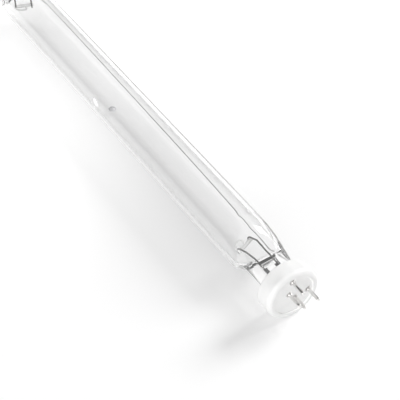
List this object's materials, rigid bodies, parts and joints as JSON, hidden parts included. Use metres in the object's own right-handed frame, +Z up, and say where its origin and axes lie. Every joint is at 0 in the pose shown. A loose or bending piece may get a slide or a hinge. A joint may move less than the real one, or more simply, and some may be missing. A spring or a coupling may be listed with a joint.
{
  "type": "uvc germicidal lamp tube",
  "caption": "Straight clear quartz ultraviolet lamp, pressed flat at both ends, with a round white ceramic base, thin contact pins at that end only and return wires along the glass.",
  "frame": {"origin": "on the floor under the middle of the lamp, lying level on the rims of its two caps", "axes": "+Y along the lamp from the pins to the far end, +Z up, square to the flats of the press seals"},
  "size_m": [0.0194, 0.1974, 0.0177],
  "materials": {
    "quartz": "clear, fire polished",
    "ceramic": "white, satin",
    "cement": "matte, slightly rough",
    "pin_metal": "nickel plated, polished",
    "emitter_coat": "white powdery coat",
    "lead_wire": "drawn wire, darkened",
    "foil": "thin rolled foil",
    "return_wire": "drawn wire",
    "mercury": "liquid metal"
  },
  "bodies": {
    "root": {"quartz_envelope": "quartz", "base_cap": "ceramic", "end_cap": "ceramic", "base_cement": "cement", "end_cement": "cement", "pin_1": "pin_metal", "pin_2": "pin_metal", "pin_3": "pin_metal", "pin_4": "pin_metal", "base_coil": "emitter_coat", "end_coil": "emitter_coat", "base_lead_left": "lead_wire", "base_lead_right": "lead_wire", "end_lead_left": "lead_wire", "end_lead_right": "lead_wire", "base_foil_left": "foil", "base_foil_right": "foil", "end_foil_left": "foil", "end_foil_right": "foil", "base_tail_left": "lead_wire", "base_tail_right": "lead_wire", "end_tail_left": "lead_wire", "end_tail_right": "lead_wire", "return_wire_upper": "return_wire", "return_wire_lower": "return_wire", "end_sleeve_upper": "return_wire", "end_sleeve_lower": "return_wire", "mercury_drop": "mercury"}
  },
  "joints": []
}
